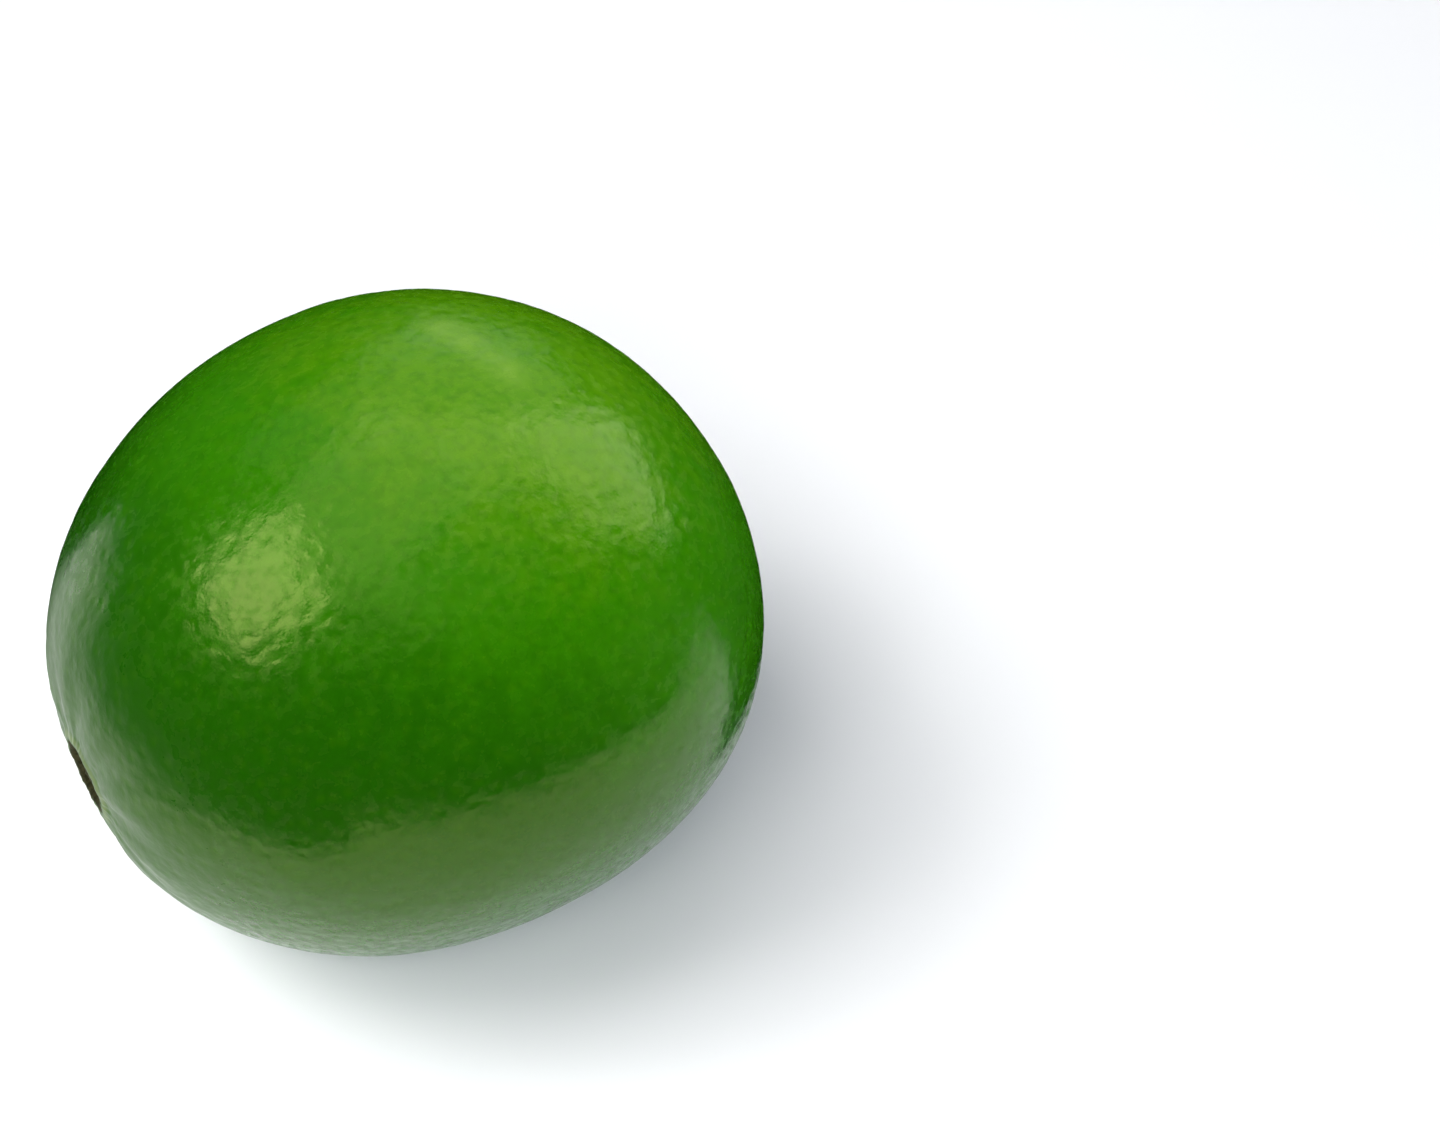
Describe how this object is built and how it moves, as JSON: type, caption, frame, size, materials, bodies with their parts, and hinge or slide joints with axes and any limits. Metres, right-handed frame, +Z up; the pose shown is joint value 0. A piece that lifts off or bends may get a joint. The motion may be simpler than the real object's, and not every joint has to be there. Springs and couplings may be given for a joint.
{
  "type": "whole green lime",
  "caption": "Whole ripe green lime lying on its side on a small flat spot, with a sunken stem scar at one end and a low mound at the other.",
  "frame": {"origin": "middle of the small flat spot on the flank that the fruit rests on", "axes": "+X from the stem end towards the blossom end along the ground, +Z up; the core dips about 8 degrees towards the stem end at -X"},
  "size_m": [0.062, 0.0576, 0.0542],
  "materials": {
    "rind": "waxy green citrus rind, satin to glossy, finely pitted with oil glands, with a dry brown stem scar"
  },
  "bodies": {
    "root": {"lime": "rind"}
  },
  "joints": []
}
